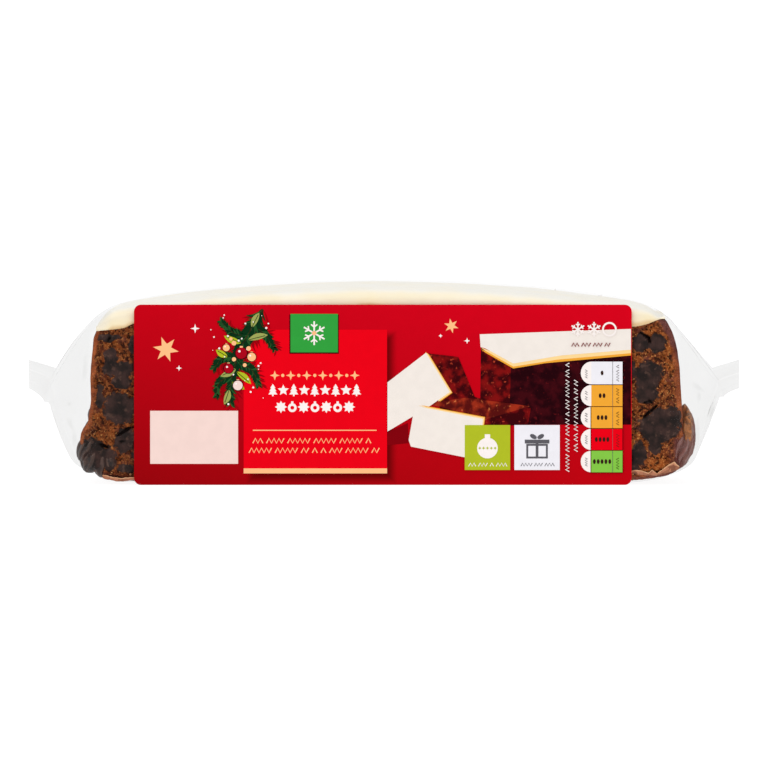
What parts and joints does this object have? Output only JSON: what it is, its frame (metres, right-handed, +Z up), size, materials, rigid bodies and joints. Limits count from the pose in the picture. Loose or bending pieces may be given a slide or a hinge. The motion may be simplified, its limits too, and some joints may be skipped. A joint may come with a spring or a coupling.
{
  "type": "iced fruit cake bar in a clear film bag",
  "caption": "Iced dark fruit cake bar sealed in a clear film bag with flat crimped end seals and a printed red label along its front.",
  "frame": {"origin": "middle of the flat base that the bar rests on", "axes": "+X along the bar, +Y towards its back, so that the label faces -Y, and +Z up through the icing"},
  "size_m": [0.189, 0.098, 0.0527],
  "materials": {
    "film": "clear glossy film",
    "label": "satin red print on a paper label",
    "cake": "dark moist crumb",
    "fruit": "wrinkled dark dried fruit",
    "icing": "smooth matt cream icing",
    "print": "satin printed colours"
  },
  "bodies": {
    "root": {"film_bag": "film", "front_label": "label"}
  },
  "joints": []
}
